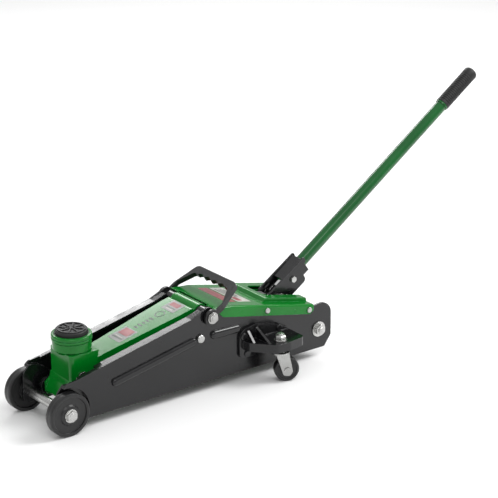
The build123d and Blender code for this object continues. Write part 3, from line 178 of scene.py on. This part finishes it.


# Each edge colour below is lighter than its base: partly wear, partly painted highlight.
MATERIALS = {
    "green": material("green_gloss_paint", (0.0, 0.160, 0.012), 0.16, coat=0.10, vary=0.10, grain=300,
                      bump=0.010, rough_spread=0.04, edge=(0.08, 0.46, 0.16), edge_width=0.0010, shine=0.30),
    # Darker copy of the green paint for the handle tube and its collar: painted shade.
    "tube": material("green_tube_painted_shade", (0.0, 0.085, 0.012), 0.18, coat=0.20, grain=300, bump=0.010,
                     rough_spread=0.05, edge=(0.02, 0.28, 0.08), edge_width=0.0008, shine=0.40,
                     stretch=(1, 4, 1)),
    "black": material("black_satin_paint", (0.0050, 0.0050, 0.0058), 0.20, coat=0.10, vary=0.25, grain=420,
                      bump=0.02, edge=(0.12, 0.12, 0.125), shine=0.45),
    "wheel": material("wheel_black", (0.0070, 0.0070, 0.0075), 0.38, coat=0.05, vary=0.25, grain=700,
                      bump=0.08, edge=(0.045, 0.045, 0.045), edge_width=0.0008),
    "zinc": material("zinc_plated_steel", (0.46, 0.46, 0.45), 0.27, metallic=1.0, vary=0.18, grain=500,
                     bump=0.10, edge=(0.72, 0.72, 0.70), speck=(0.20, 0.20, 0.19)),
    "bright": material("ground_steel", (0.60, 0.60, 0.60), 0.18, metallic=1.0, vary=0.08, grain=500,
                       bump=0.05, stretch=(1, 6, 1)),
    "iron": material("cast_iron_painted", (0.014, 0.014, 0.015), 0.55, coat=0.1, vary=0.25, grain=320,
                     bump=0.5, edge=(0.06, 0.06, 0.06)),
    "rubber": material("black_rubber", (0.0085, 0.0085, 0.009), 0.55, vary=0.2, grain=1400, bump=0.10,
                       rough_spread=0.06),
    "plastic": material("black_plastic", (0.0075, 0.0075, 0.008), 0.36, vary=0.15, grain=1600, bump=0.10,
                        edge=(0.05, 0.05, 0.05), edge_width=0.0008),
    "spring": material("oiled_spring_steel", (0.16, 0.16, 0.17), 0.32, metallic=1.0, vary=0.15, grain=700,
                       bump=0.08),
    "label_grey": label_print("label_grey", (0.17, 0.18, 0.17), 0.25),
    "label_pale": label_print("label_pale", (0.42, 0.41, 0.38), 0.2),
    "label_red": label_print("label_red", (0.20, 0.012, 0.018), 0.25),
    "label_dark": label_print("label_dark", (0.012, 0.03, 0.018), 0.2),
}
FINISH = {
    "green": ["lift_arm", "saddle_bracket", "cover", "oil_tank", "tank_nut", "saddle_cup", "link_rivets"],
    "tube": ["handle_tube"],
    "black": ["side_plate_left", "side_plate_right", "caster_bracket_left", "caster_bracket_right",
              "link_left", "link_right", "handle_socket", "socket_sleeve", "shaft_spacers",
              "link_pivot_spacers", "cross_brace", "bail_spacers", "caster_rivets"],
    "wheel": ["front_wheel_left", "front_wheel_right"],
    "zinc": ["link_pivot_bolts", "front_axle", "front_axle_nuts", "main_shaft", "main_shaft_nuts",
             "crank_pin", "arm_pin", "tail_bolts", "tail_washers", "pivot_bolts", "oil_plug", "socket_bolts",
             "cover_screws", "kingpin_left", "kingpin_right", "caster_race_left", "caster_race_right",
             "caster_fork_left", "caster_fork_right", "caster_axle_left", "caster_axle_right", "pump_roller"],
    "bright": ["ram_rod", "pump_plunger", "handle_fork", "release_valve", "ram_cylinder"],
    "spring": ["pump_spring", "return_springs"],
    "iron": ["pump_block", "ram_head"],
    "rubber": ["saddle_pad", "handle_grip"],
    "plastic": ["carry_handle", "caster_wheel_left", "caster_wheel_right"],
}
for finish, names in FINISH.items():
    for name in names:
        NODES[name].data.materials.clear()
        NODES[name].data.materials.append(MATERIALS[finish])


# ---- mesh helpers ----
SHARP_ANGLE = 35


def finish_mesh(name, bm, finish, body):
    """Named object from a bmesh, in one finish, riding on one body."""
    mesh = bpy.data.meshes.new(name)
    bmesh.ops.recalc_face_normals(bm, faces=bm.faces)
    bm.to_mesh(mesh)
    bm.free()
    mesh.polygons.foreach_set("use_smooth", [True] * len(mesh.polygons))
    mesh.set_sharp_from_angle(angle=math.radians(SHARP_ANGLE))
    obj = bpy.data.objects.new(name, mesh)
    bpy.context.scene.collection.objects.link(obj)
    mesh.materials.append(MATERIALS[finish])
    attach(obj, body)
    return obj


def side_vectors(axis):
    """The axis and two directions square to it and to each other."""
    axis = Vector(axis).normalized()
    first = axis.orthogonal().normalized()
    return axis, first, axis.cross(first)


def lathe(name, origin, axis, profile, finish, body, segments, wave=None):
    """Turned piece: profile is (radius, distance along the axis); radius 0 closes an end.

    wave gives an extra radius from the angle, the radius and the distance.
    """
    axis, u, v = side_vectors(axis)
    bm = bmesh.new()
    rings = []
    for radius, along in profile:
        centre = Vector(origin) + axis * along
        if radius <= 0:
            rings.append([bm.verts.new(centre)])
            continue
        ring = []
        for i in range(segments):
            a = 2 * math.pi * i / segments
            r = radius + (wave(a, radius, along) if wave else 0)
            ring.append(bm.verts.new(centre + (u * math.cos(a) + v * math.sin(a)) * r))
        rings.append(ring)
    for low, high in zip(rings, rings[1:]):
        if len(low) == 1 and len(high) == 1:
            continue
        for i in range(segments):
            k = (i + 1) % segments
            if len(low) == 1:
                bm.faces.new((low[0], high[i], high[k]))
            elif len(high) == 1:
                bm.faces.new((low[i], low[k], high[0]))
            else:
                bm.faces.new((low[i], low[k], high[k], high[i]))
    return finish_mesh(name, bm, finish, body)


def closed(profile):
    """Profile of a ring with a bore: its last point joins its first."""
    return profile + profile[:1]


def spring_wire(name, points, radius, sides):
    bm = bmesh.new()
    rings = []
    normal = None
    for i, point in enumerate(points):
        before, after = points[max(i - 1, 0)], points[min(i + 1, len(points) - 1)]
        direction = (after - before).normalized()
        normal = direction.orthogonal().normalized() if normal is None else (
            normal - direction * normal.dot(direction)).normalized()
        other = direction.cross(normal)
        rings.append([bm.verts.new(point + (normal * math.cos(2 * math.pi * k / sides)
                                            + other * math.sin(2 * math.pi * k / sides)) * radius)
                      for k in range(sides)])
    for low, high in zip(rings, rings[1:]):
        for k in range(sides):
            n = (k + 1) % sides
            bm.faces.new((low[k], low[n], high[n], high[k]))
    bm.faces.new(list(reversed(rings[0])))
    bm.faces.new(rings[-1])
    mesh = bpy.data.meshes.new(name)
    bm.to_mesh(mesh)
    bm.free()
    mesh.polygons.foreach_set("use_smooth", [True] * len(mesh.polygons))
    mesh.materials.append(MATERIALS["spring"])
    obj = bpy.data.objects.new(name, mesh)
    bpy.context.scene.collection.objects.link(obj)
    return obj


def helix(start, end, radius, turns, steps):
    """Points of a coil between two places, with so many steps a turn."""
    axis, u, v = side_vectors(end - start)
    length = (end - start).length
    total = int(turns * steps)
    points = []
    for i in range(total + 1):
        a = 2 * math.pi * i / steps
        points.append(start + axis * (length * i / total) + (u * math.cos(a) + v * math.sin(a)) * radius)
    return points


STICKER_T = 0.12 * MM


def patch(name, origin, along_dir, half_w, half_l, corner, finish, body, hole=None):
    """Sticker: a thin rounded sheet on a flat face, its width across the jack; hole scales a cut-out."""
    x, y = Vector((0, 1, 0)), along_dir
    z = x.cross(y)
    if z.z < 0:
        z = -z
    bm = bmesh.new()
    outline = []
    for cx, cy, start in ((1, 1, 0), (-1, 1, 90), (-1, -1, 180), (1, -1, 270)):
        for step in range(7):
            a = math.radians(start + 15 * step)
            across = cx * (half_w - corner) + corner * math.cos(a)
            outline.append((across, cy * (half_l - corner) + corner * math.sin(a)))

    def ring(scale, rise):
        return [bm.verts.new(origin + x * a * scale + y * b * scale + z * rise) for a, b in outline]

    top, low = ring(1, STICKER_T), ring(1, 0)
    if hole:
        inner_top, inner_low = ring(hole, STICKER_T), ring(hole, 0)
    n = len(outline)
    for i in range(n):
        k = (i + 1) % n
        bm.faces.new((low[i], low[k], top[k], top[i]))
        if hole:
            bm.faces.new((top[i], top[k], inner_top[k], inner_top[i]))
            bm.faces.new((inner_low[i], inner_low[k], low[k], low[i]))
            bm.faces.new((inner_top[i], inner_top[k], inner_low[k], inner_low[i]))
    if not hole:
        bm.faces.new(top)
        bm.faces.new(list(reversed(low)))
    return finish_mesh(name, bm, finish, body)


THREAD_ROOT = 0.88


def thread(name, origin, axis, radius, length, pitch):
    """Threaded end with a turned-down tip, fixed to the chassis."""
    root = radius * THREAD_ROOT
    profile = [(0, 0), (root, 0)]
    count = int(length / pitch)
    for i in range(count):
        profile += [(radius, pitch * (i + 0.45)), (root, pitch * (i + 0.95))]
    profile += [(radius * 0.8, length - pitch * 0.15), (radius * 0.55, length), (0, length)]
    lathe(name, origin, axis, profile, "zinc", "chassis", segments=36)


# ---- front wheels ----
WHEEL_BORE = 7.06 * MM
WHEEL_DEEP = 2.6 * MM


def front_wheel(side, sign):
    """Roller with a rounded tread, a sunk disc on both faces and a raised hub."""
    low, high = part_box(f"front_wheel_{side}")
    centre = middle(f"front_wheel_{side}")
    r, half = (high[2] - low[2]) / 2, (high[1] - low[1]) / 2
    disc = half - WHEEL_DEEP
    inner_face = [(WHEEL_BORE, -half), (13 * MM, -half), (14 * MM, -disc), (r - 6 * MM, -disc),
                  (r - 5 * MM, -half), (r - 1.6 * MM, -half)]
    tread = [(r - 0.4 * MM, -half + 0.6 * MM), (r, -half + 1.8 * MM), (r, -1.2 * MM), (r - 0.25 * MM, 0),
             (r, 1.2 * MM), (r, half - 1.8 * MM), (r - 0.4 * MM, half - 0.6 * MM)]
    rim = [(r - 1.6 * MM, half), (r - 4.6 * MM, half), (r - 5.4 * MM, half - 0.5 * MM),
           (r - 5.9 * MM, half - 2.4 * MM), (r - 6.6 * MM, disc)]
    hub = [(15.6 * MM, disc), (14.9 * MM, half - 1.9 * MM), (14.2 * MM, half - 0.5 * MM), (13.4 * MM, half),
           (WHEEL_BORE, half)]
    wheel = lathe(f"roller_{side}", centre, (0, sign, 0), closed(inner_face + tread + rim + hub), "wheel",
                  f"front_wheel_{side}_body", segments=120)
    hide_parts(f"front_wheel_{side}")


front_wheel("left", -1)
front_wheel("right", 1)


# ---- casters ----
CASTER_R = 19 * MM
CASTER_HALF = 7 * MM
CASTER_BORE = 3.06 * MM


def caster(side):
    """Caster wheel with a rounded tread; its profile is the same on both sides."""
    axis = Vector(JOINTS[f"caster_{side}_roll"]["axis"])
    centre = Vector(JOINTS[f"caster_{side}_roll"]["pos_m"])
    r, half = CASTER_R, CASTER_HALF
    near = [(CASTER_BORE, -half), (6 * MM, -half), (6.5 * MM, -half + 1.2 * MM),
            (r - 5 * MM, -half + 1.2 * MM), (r - 4.2 * MM, -half), (r - 2.2 * MM, -half),
            (r - 0.7 * MM, -half + 0.8 * MM), (r, -half + 2.4 * MM)]
    far = [(radius, -place) for radius, place in reversed(near)]
    wheel = lathe(f"caster_tyre_{side}", centre, axis, closed(near + far), "plastic",
                  f"caster_wheel_{side}_body", segments=96)
    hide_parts(f"caster_wheel_{side}")


caster("left")
caster("right")


# ---- handle grip, with fine rings and a domed end ----
GRIP_R = 11.2 * MM
GRIP_BORE = 9.42 * MM
GRIP_LENGTH = 77 * MM
RING_STEP = 3.6 * MM
DOME_R = 6 * MM


def handle_reach():
    """Distance from the pivot to the far end of the grip, from its own vertices."""
    mesh = NODES["handle_grip"].data
    return max((v.co - PIVOT).dot(HANDLE) for v in mesh.vertices)


def grip():
    """Ribbed sleeve over the end of the handle tube, and a green collar before it."""
    r, far = GRIP_R, handle_reach()
    begin = far - GRIP_LENGTH
    valley, crest = r - 0.9 * MM, r - 0.1 * MM
    place = begin + 4.6 * MM
    profile = [(GRIP_BORE, begin), (r - 0.5 * MM, begin), (r, begin + 0.6 * MM), (r, begin + 4 * MM),
               (valley, place)]
    while place < far - 17 * MM:
        profile += [(valley, place + 0.8 * MM), (crest, place + 1.3 * MM), (crest, place + 3.1 * MM),
                    (valley, place + RING_STEP)]
        place += RING_STEP
    profile += [(r, place + 1.6 * MM)]
    for step in range(10):
        a = math.radians(step * 10)
        profile.append((r - DOME_R + DOME_R * math.cos(a), far - DOME_R + DOME_R * math.sin(a)))
    profile += [(0, far)]
    piece = lathe("grip_ribbed", PIVOT, HANDLE, profile, "rubber", "handle_body", segments=64)
    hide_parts("handle_grip")
    collar = [(GRIP_BORE, begin - 3.2 * MM), (10.3 * MM, begin - 3.2 * MM), (10.6 * MM, begin - 2.6 * MM),
              (10.6 * MM, begin - 0.4 * MM), (GRIP_BORE, begin - 0.4 * MM)]
    # The collar takes the tube's darker green, which is painted shade.
    lathe("grip_collar", PIVOT, HANDLE, closed(collar), "tube", "handle_body", segments=48)


grip()


# ---- springs ----
RETURN_COIL_R, RETURN_WIRE_R, RETURN_TURNS = 3.3 * MM, 0.62 * MM, 40
PLUNGER_COIL_R, PLUNGER_WIRE_R, PLUNGER_TURNS = 7.3 * MM, 0.75 * MM, 4
HOOK = 4 * MM


def return_spring(side, sign):
    """Pull spring between the arm and the chassis; its ends are read from the node's own vertices."""
    low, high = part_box("return_springs")
    y = sign * ((high[1] - low[1]) / 2 - HOOK)
    verts = [v.co for v in NODES["return_springs"].data.vertices if v.co.y * sign > 0]
    front = min(verts, key=lambda p: p.x).x
    back = max(verts, key=lambda p: p.x).x
    ends = []
    for x in (front, back):
        near = [p for p in verts if abs(p.x - x) < 2.5 * MM]
        ends.append(Vector((x, y, sum(p.z for p in near) / len(near))))
    start, end = ends
    axis = (end - start).normalized()
    points = helix(start + axis * HOOK, end - axis * HOOK, RETURN_COIL_R, RETURN_TURNS, steps=14)
    coil = spring_wire(f"return_coil_{side}", [start, *points, end], RETURN_WIRE_R, sides=6)
    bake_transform(coil)
    return coil


coils = [return_spring("left", -1), return_spring("right", 1)]
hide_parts("return_springs")


def plunger_spring():
    """Push spring round the pump plunger."""
    low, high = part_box("pump_spring")
    centre = middle("pump_spring")
    start = Vector((centre.x, centre.y, low[2] + 0.8 * MM))
    end = Vector((centre.x, centre.y, high[2] - 0.8 * MM))
    points = helix(start, end, PLUNGER_COIL_R, PLUNGER_TURNS, steps=24)
    coil = spring_wire("plunger_coil", points, PLUNGER_WIRE_R, sides=8)
    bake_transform(coil)
    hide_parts("pump_spring")


plunger_spring()


# ---- threaded ends ----
for sign, side in ((-1, "left"), (1, "right")):
    y = sign * (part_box("main_shaft")[1][1] - 4.2 * MM)
    thread(f"shaft_thread_{side}", (SHAFT.x, y, SHAFT.z), (0, sign, 0),
           radius=4.55 * MM, length=4.1 * MM, pitch=1.0 * MM)
    y = sign * (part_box("front_axle")[1][1] - 4.0 * MM)
    thread(f"axle_thread_{side}", (AXLE.x, y, AXLE.z), (0, sign, 0),
           radius=5.05 * MM, length=3.9 * MM, pitch=0.9 * MM)
    pin = middle(f"kingpin_{side}")
    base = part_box(f"kingpin_{side}")[1][2] - 2.6 * MM
    thread(f"kingpin_thread_{side}", (pin.x, pin.y, base), (0, 0, 1),
           radius=5.04 * MM, length=2.5 * MM, pitch=0.8 * MM)


# ---- labels, without text; places and sizes in millimetres ----
LIFT_OFF = 0.04
SECOND_LAYER = 0.14
ARM_TOP_AT_SHAFT, ARM_TOP_DROP, ARM_TOP_LENGTH = 11.5, 0.5, 210


def arm_top(along):
    """Height of the arm's upper face over the line from the shaft to the arm pin."""
    return ARM_TOP_AT_SHAFT - (along + 2) / ARM_TOP_LENGTH * ARM_TOP_DROP


def arm_patch(name, along, half_l, half_w, finish, lift=0.0, corner=1.5, hole=None):
    """Sticker on top of the arm, so far along it from the shaft."""
    place = SHAFT + ALONG_ARM * (along * MM) + ARM_UP * ((arm_top(along) + LIFT_OFF + lift) * MM)
    patch(name, place, ALONG_ARM, half_w * MM, half_l * MM, corner * MM, finish, "lift_arm_body", hole=hole)


arm_patch("label_arm_low", 118, 17, 15, "label_grey")
arm_patch("label_arm_low_red", 111, 8, 11, "label_red", lift=SECOND_LAYER)
arm_patch("label_arm_low_line", 128, 1.3, 12, "label_dark", lift=SECOND_LAYER, corner=0.4)
arm_patch("label_arm_low_line_b", 124.5, 0.9, 9, "label_pale", lift=SECOND_LAYER, corner=0.4)
arm_patch("label_arm_ring", 50, 8, 8, "label_dark", corner=7.9, hole=0.80)
for i in range(5):
    arm_patch(f"label_arm_mark_{i}", 66 + 7.0 * i, 1.5, 5.0 - 0.8 * (i % 3), "label_dark", corner=0.8)
arm_patch("label_arm_high", 25, 12.5, 15, "label_grey")
arm_patch("label_arm_high_red", 21, 4.5, 10, "label_red", lift=SECOND_LAYER)
arm_patch("label_arm_high_line", 29.5, 1.1, 11, "label_dark", lift=SECOND_LAYER, corner=0.4)
arm_patch("label_arm_high_line_b", 33, 0.9, 8, "label_pale", lift=SECOND_LAYER, corner=0.4)

# The top of the cover slopes gently to a bend behind the shaft, then falls faster to its back end.
COVER_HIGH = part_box("cover")[1]
BEND_X, BEND_Z = SHAFT.x + 39.4 * MM, SHAFT.z + 8 * MM
COVER_FALL = 35 * MM / (COVER_HIGH[0] - BEND_X)
COVER_ALONG = Vector((1, 0, -COVER_FALL)).normalized()


def cover_patch(name, from_bend, half_l, half_w, finish, y=0.0, lift=0.0, corner=2.0):
    """Sticker on the falling top of the cover, so far behind its bend."""
    place = Vector((BEND_X, y * MM, BEND_Z + (LIFT_OFF + lift) * MM)) + COVER_ALONG * (from_bend * MM)
    patch(name, place, COVER_ALONG, half_w * MM, half_l * MM, corner * MM, finish, "chassis")


cover_patch("label_cover_red", 13, 10, 36, "label_red")
cover_patch("label_cover_pale", 39, 13, 36, "label_pale")
cover_patch("label_cover_block", 34, 5, 9, "label_red", y=-22, lift=SECOND_LAYER)
for i in range(4):
    cover_patch(f"label_cover_line_{i}", 31 + 5 * i, 1.1, 20 - 2 * (i % 2), "label_dark", y=8,
                lift=SECOND_LAYER, corner=0.5)


# ---- small marks and welds ----
DIMPLES_FROM_SHAFT = (54 * MM, 158 * MM)
DIMPLE_BELOW_TOP = 8.7 * MM
SHELF_WELD_Y = 58.3 * MM
SHELF_TOP = 27.2 * MM
SHELF_BEAD_R = 1.3 * MM
RIPPLE_STEP = 1.1 * MM
BRACE_R = 6 * MM
FILLET = 2.2 * MM
FILLET_WAVE = 0.18 * MM


def dimple(name, place, axis, radius=1.5 * MM, rise=0.5 * MM):
    """Small raised mark on the side of the cover."""
    profile = [(0, 0), (radius, 0), (radius, rise * 0.4), (radius * 0.7, rise), (0, rise * 0.9)]
    lathe(name, place, axis, profile, "green", "chassis", segments=24)


def weld(name, start, end, radius):
    """Bead of small ripples between two points."""
    length = (end - start).length
    last = 3 * max(8, int(length / RIPPLE_STEP))
    profile = [(0, 0)]
    for i in range(last + 1):
        ripple = abs(math.sin(math.pi * i / 3))
        end_off = min(1, min(i, last - i) / 3 + 0.45)
        profile.append((radius * (0.82 + 0.18 * ripple) * end_off, length * i / last))
    profile.append((0, length))
    lathe(name, start, end - start, profile, "black", "chassis", segments=14)


def brace_weld(side, sign):
    """Fillet weld round the end of the cross brace."""
    def ripple(angle, radius, along):
        return FILLET_WAVE * math.sin(26 * angle) if radius > BRACE_R + 0.2 * MM else 0

    place = middle("cross_brace")
    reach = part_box("cross_brace")[1][1] - FILLET
    profile = [(BRACE_R, 0), (6.6 * MM, 0.4 * MM), (7.6 * MM, 1.5 * MM), (8 * MM, FILLET), (BRACE_R, FILLET),
               (BRACE_R, 0)]
    lathe(f"brace_weld_{side}", (place.x, sign * reach, place.z), (0, sign, 0), profile, "black",
          "chassis", segments=40, wave=ripple)


def shelf_weld(side, sign):
    """Weld along the top of the caster bracket's shelf, against its upright plate."""
    low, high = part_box(f"caster_bracket_{side}")
    start = Vector((low[0] + 20 * MM, sign * SHELF_WELD_Y, low[2] + SHELF_TOP))
    end = Vector((high[0] - 4 * MM, sign * SHELF_WELD_Y, low[2] + SHELF_TOP))
    weld(f"shelf_weld_{side}", start, end, SHELF_BEAD_R)


for sign, side in ((-1, "left"), (1, "right")):
    face = sign * (COVER_HIGH[1] - 0.2 * MM)
    for i, from_shaft in enumerate(DIMPLES_FROM_SHAFT):
        x = SHAFT.x + from_shaft
        z = BEND_Z - (x - BEND_X) * COVER_FALL - DIMPLE_BELOW_TOP
        dimple(f"cover_dimple_{side}_{i}", (x, face, z), (0, sign, 0))
    shelf_weld(side, sign)
    brace_weld(side, sign)


# ---- surroundings ----
FLOOR_HALF = 8.0


def floor():
    """Pale floor under the jack."""
    mesh = bpy.data.meshes.new("floor")
    bm = bmesh.new()
    half = FLOOR_HALF
    corners = [(-half, -half, 0), (half, -half, 0), (half, half, 0), (-half, half, 0)]
    bm.faces.new([bm.verts.new(c) for c in corners])
    bm.to_mesh(mesh)
    bm.free()
    obj = bpy.data.objects.new("floor", mesh)
    bpy.context.scene.collection.objects.link(obj)
    mat = bpy.data.materials.new("pale_floor")
    mat.use_nodes = True
    shader = mat.node_tree.nodes["Principled BSDF"]
    shader.inputs["Base Color"].default_value = (0.93, 0.93, 0.93, 1)
    shader.inputs["Roughness"].default_value = 0.8
    mesh.materials.append(mat)


def light(name, place, target, size, power):
    """Soft lamp aimed at the target; size in metres, power in watts."""
    data = bpy.data.lights.new(name, "AREA")
    data.shape = "RECTANGLE"
    data.size, data.size_y = size
    data.energy = power
    obj = bpy.data.objects.new(name, data)
    bpy.context.scene.collection.objects.link(obj)
    obj.location = place
    obj.rotation_euler = (Vector(target) - Vector(place)).to_track_quat("-Z", "Y").to_euler()


def studio():
    """White surroundings, darker at the horizon, and three lamps."""
    world = bpy.data.worlds.new("studio")
    world.use_nodes = True
    tree = world.node_tree
    back = tree.nodes["Background"]
    back.inputs[0].default_value = (1, 1, 1, 1)
    where = tree.nodes.new("ShaderNodeTexCoord")
    parts = tree.nodes.new("ShaderNodeSeparateXYZ")
    rising = tree.nodes.new("ShaderNodeMapRange")
    tree.links.new(where.outputs["Generated"], parts.inputs[0])
    tree.links.new(parts.outputs["Z"], rising.inputs["Value"])
    for socket, value in (("From Min", 0.0), ("From Max", 0.7), ("To Min", 0.52), ("To Max", 0.78)):
        rising.inputs[socket].default_value = value
    tree.links.new(rising.outputs[0], back.inputs[1])
    bpy.context.scene.world = world
    floor()
    target = (0, 0, 0.08)
    light("key", (-1.0, -1.6, 2.2), target, size=(1.4, 0.9), power=14)
    light("side", (1.30, -0.85, 1.75), target, size=(0.8, 1.0), power=30)
    light("back", (0.96, 1.86, 1.40), target, size=(1.5, 0.35), power=16)


PHOTO_AZIMUTH = -37.58
PHOTO_ELEVATION = 19.96
PHOTO_LENS = 144.216867
SENSOR_WIDTH = 36
CAMERA_FROM_AXLE = (-1.35583, -2.23457, 1.20648)


def camera():
    """Camera of the photograph: angles in degrees, lens and sensor in millimetres."""
    data = bpy.data.cameras.new("photo")
    data.lens = PHOTO_LENS
    data.sensor_width = SENSOR_WIDTH
    data.clip_end = 50
    data.dof.use_dof = False
    obj = bpy.data.objects.new("photo", data)
    bpy.context.scene.collection.objects.link(obj)
    azimuth, elevation = math.radians(PHOTO_AZIMUTH), math.radians(PHOTO_ELEVATION)
    back = Vector((math.sin(azimuth) * math.cos(elevation), -math.cos(azimuth) * math.cos(elevation),
                   math.sin(elevation)))
    right = Vector((math.cos(azimuth), math.sin(azimuth), 0))
    up = back.cross(right)
    place = Vector((AXLE.x, 0, 0)) + Vector(CAMERA_FROM_AXLE)
    turn = Matrix((right, up, back)).transposed().to_4x4()
    obj.matrix_world = Matrix.Translation(place) @ turn
    bpy.context.scene.camera = obj


studio()
camera()
bpy.context.scene.view_settings.view_transform = "Standard"
